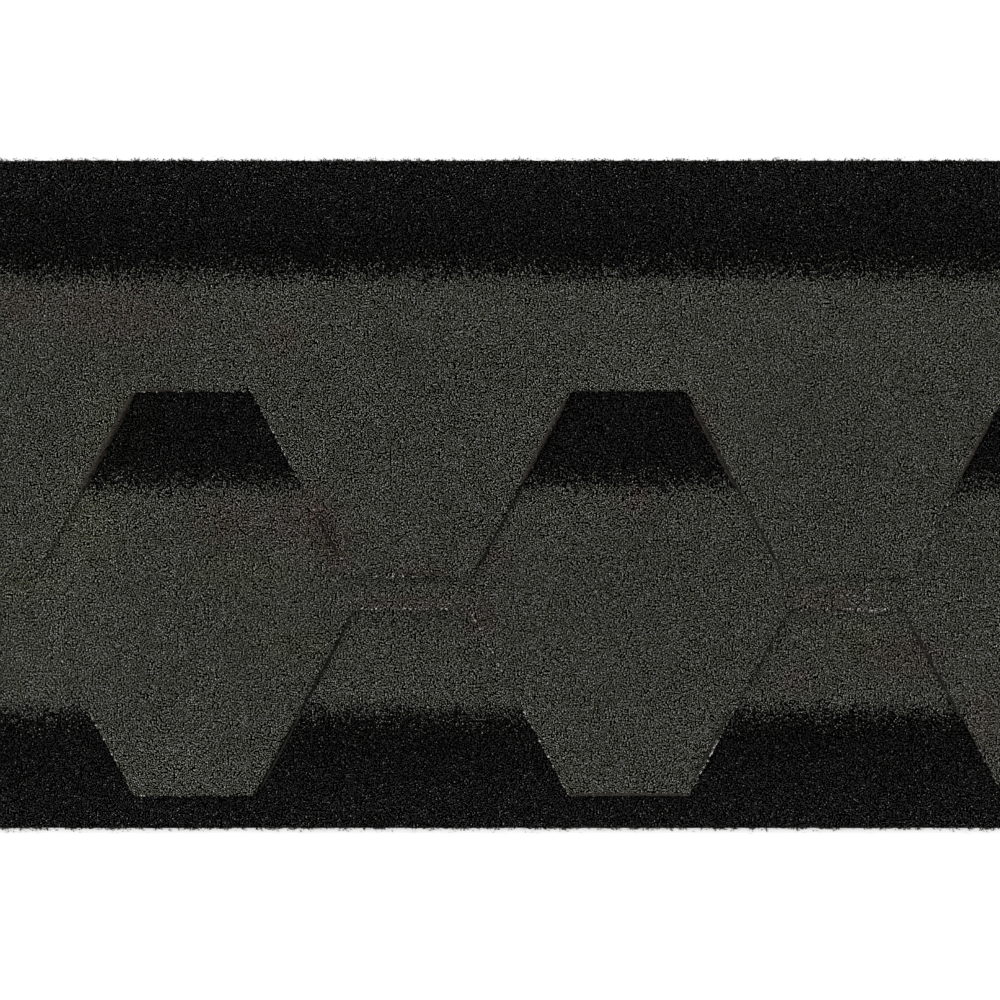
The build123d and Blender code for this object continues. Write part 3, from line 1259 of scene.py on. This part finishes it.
class OBJECT_OT_wear_edges(bpy.types.Operator):
    """Lay the dark seams, partly painted shadow, and the crushed, smooth bands along the punched edges"""

    bl_idname = "object.wear_edges"
    bl_label = "Wear the cut edges"

    def execute(self, context):
        sizes = context.scene.strip_sizes
        finish = context.scene.strip_finish
        sheets = sheets_together()
        # The dark seams are partly bitumen and partly painted shadow along the edges
        for kind, name, colour in (
                ("seam", "bitumen_seams", finish.seam_and_shadow_colour),
                ("crushed", "crushed_edges", finish.crushed_colour)):
            ribbons = []
            for wear in EDGE_WEAR:
                if wear.kind == kind:
                    start, end = worn_run(wear, finish, sizes)[:2]
                    ribbons.append(wear_ribbon(start, end, wear.size, sheets))
            activate(ribbons[0])
            for ribbon in ribbons:
                ribbon.select_set(True)
            bpy.ops.object.join()
            piece = added(name)
            piece.data.materials.clear()
            piece.data.materials.append(plain_bitumen(name, colour))
            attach(piece, "root")
        bpy.data.objects.remove(sheets)
        return {"FINISHED"}


class OBJECT_OT_drop_crumbs(bpy.types.Operator):
    """Drop crumbs along the straight edges that lie on the floor"""

    bl_idname = "object.drop_crumbs"
    bl_label = "Drop edge crumbs"

    def execute(self, context):
        finish = context.scene.strip_finish
        rng = np.random.default_rng(finish.granule_seed + CRUMB_DRAWS)
        second, starter = lay_up(finish)[::2]
        places = []
        widths = []
        for strip, edge, way in ((second, second.high.y, 1), (starter, starter.low.y, -1)):
            count = round(finish.crumbs_along_edge * STRIP_LENGTH)
            x = rng.uniform(strip.low.x, strip.high.x, count)
            draw = rng.random(count)
            x = x[draw < LEAST_CRUMB_CHANCE + (1 - LEAST_CRUMB_CHANCE) * clumps(x, rng) ** 2]
            farthest = FARTHEST_CRUMB * finish.crumb_reach
            reach = np.minimum(rng.exponential(finish.crumb_reach, len(x)), farthest)
            width = rng.uniform(*CRUMB_WIDTHS, len(x)) * np.exp(-reach / CRUMB_SHRINK_RUN)
            stuck = rng.random(len(x)) < STUCK_CHANCE
            reach[stuck] = rng.uniform(*STUCK_REACH_SHARES, stuck.sum()) * width[stuck]
            height = np.where(stuck, rng.uniform(STUCK_LOWEST, SHEET_THICKNESS, len(x)), 0.0)
            places.append(np.stack([x, edge + way * reach, height], 1))
            widths.append(width)
        places = np.concatenate(places)
        widths = np.concatenate(widths)
        level = rng.uniform(*CRUMB_LEVELS, len(places)) ** CRUMB_CONTRAST
        tones = level[:, None] * np.array(finish.crumb_tint)
        piece = joined_granules("edge_crumbs", places, widths, tones, rng)
        piece.data.materials.append(loose_granule())
        return {"FINISHED"}


class OBJECT_OT_lay_strips(bpy.types.Operator):
    """Model the three strips and lay them on their solids"""

    bl_idname = "object.lay_strips"
    bl_label = "Lay the strips"

    def execute(self, context):
        sizes = context.scene.strip_sizes
        finish = context.scene.strip_finish
        cut = cut_bitumen(finish)
        back = sanded_back(finish)
        for strip in lay_up(finish):
            sheet = cut_sheet(strip, sizes)
            refine_open_faces(sheet, strip, sizes)
            shape_sheet(sheet, strip, sizes)
            finish_sheet(sheet, strip, finish, cut, back)
            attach(sheet, "root")
            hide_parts(strip.node)
        return {"FINISHED"}


def seen_directly(tree):
    """One for the rays of the camera, and for those in a gloss or through glass."""
    path = add_node(tree, "LightPath")
    seen = math_node(tree, "MAXIMUM", path.outputs["Is Camera Ray"], path.outputs["Is Glossy Ray"])
    return math_node(tree, "MAXIMUM", seen, path.outputs["Is Transmission Ray"])


def white_floor(stage):
    """A pale floor that keeps the object's shadow and shows white to the camera."""
    material, tree, shader = new_material("white_floor")
    shader.inputs["Base Color"].default_value = (*stage.floor_colour, 1)
    shader.inputs["Roughness"].default_value = 0.9
    shader.inputs["Emission Color"].default_value = (1, 1, 1, 1)
    glow = math_node(tree, "MULTIPLY", seen_directly(tree), FLOOR_WHITE)
    tree.links.new(glow, shader.inputs["Emission Strength"])
    return material


def white_sky(stage):
    """Even light from all round, which shows white to the camera."""
    world = bpy.data.worlds.new("white_sky")
    world.use_nodes = True
    tree = world.node_tree
    tree.nodes.clear()
    output = tree.nodes.new("ShaderNodeOutputWorld")
    sky = add_node(tree, "Background", {"Color": (1, 1, 1, 1)})
    strength = map_range(tree, seen_directly(tree), (0.0, 1.0), (stage.sky_strength, 1.0))
    tree.links.new(strength, sky.inputs["Strength"])
    tree.links.new(sky.outputs["Background"], output.inputs["Surface"])
    return world


class OBJECT_OT_set_stage(bpy.types.Operator):
    """Set the floor, the lamps and the camera"""

    bl_idname = "object.set_stage"
    bl_label = "Set the stage"

    def execute(self, context):
        stage = context.scene.stage_settings
        deselect_everything()
        bpy.ops.mesh.primitive_plane_add(size=FLOOR_SIZE, location=(0, 0, CAD_BOX[0][2] - FLOOR_GAP))
        floor = added("floor")
        apply_place(floor)
        floor.data.materials.append(white_floor(stage))
        context.scene.world = white_sky(stage)
        for name, place in LAMP_PLACES.items():
            bpy.ops.object.light_add(type="SUN", location=place)
            light = bpy.context.active_object
            light.name = name
            light.data.energy = getattr(stage, name)
            light.data.angle = stage.light_angle
            light.rotation_euler = (-light.location).to_track_quat("-Z", "Y").to_euler()
        bpy.ops.object.camera_add(location=(*stage.view_centre, stage.camera_height), rotation=(0, 0, 0))
        camera = bpy.context.active_object
        camera.name = "photo_camera"
        camera.data.lens = camera.data.sensor_width * stage.camera_height / stage.view_width
        camera.data.clip_end = FARTHEST_VIEW
        context.scene.camera = camera
        context.scene.view_settings.view_transform = "Standard"
        return {"FINISHED"}


class VIEW3D_PT_shingles(bpy.types.Panel):
    """Lists the steps that build the strips"""

    bl_idname = "VIEW3D_PT_shingles"
    bl_label = "Shingles"
    bl_space_type = "VIEW_3D"
    bl_region_type = "UI"
    bl_category = "Shingles"

    def draw(self, context):
        for step in STEPS:
            self.layout.operator(step.bl_idname)


STEPS = (
    OBJECT_OT_lay_strips,
    OBJECT_OT_scatter_granules,
    OBJECT_OT_wear_edges,
    OBJECT_OT_chip_edges,
    OBJECT_OT_drop_crumbs,
    OBJECT_OT_set_stage,
)
GROUPS = (StripSizes, StripFinish, StageSettings)
CLASSES = GROUPS + STEPS + (VIEW3D_PT_shingles,)


def register():
    """Adds the classes to Blender, and their settings to its scenes."""
    for entry in CLASSES:
        bpy.utils.register_class(entry)
    bpy.types.Scene.strip_sizes = bpy.props.PointerProperty(type=StripSizes)
    bpy.types.Scene.strip_finish = bpy.props.PointerProperty(type=StripFinish)
    bpy.types.Scene.stage_settings = bpy.props.PointerProperty(type=StageSettings)


def unregister():
    """Takes the settings and the classes out of Blender again."""
    del bpy.types.Scene.stage_settings
    del bpy.types.Scene.strip_finish
    del bpy.types.Scene.strip_sizes
    for entry in reversed(CLASSES):
        bpy.utils.unregister_class(entry)


def main():
    """Builds the strips and the stage."""
    register()
    bpy.ops.object.lay_strips()
    bpy.ops.object.scatter_granules()
    bpy.ops.object.wear_edges()
    bpy.ops.object.chip_edges()
    bpy.ops.object.drop_crumbs()
    bpy.ops.object.set_stage()


if __name__ == "__main__":
    main()
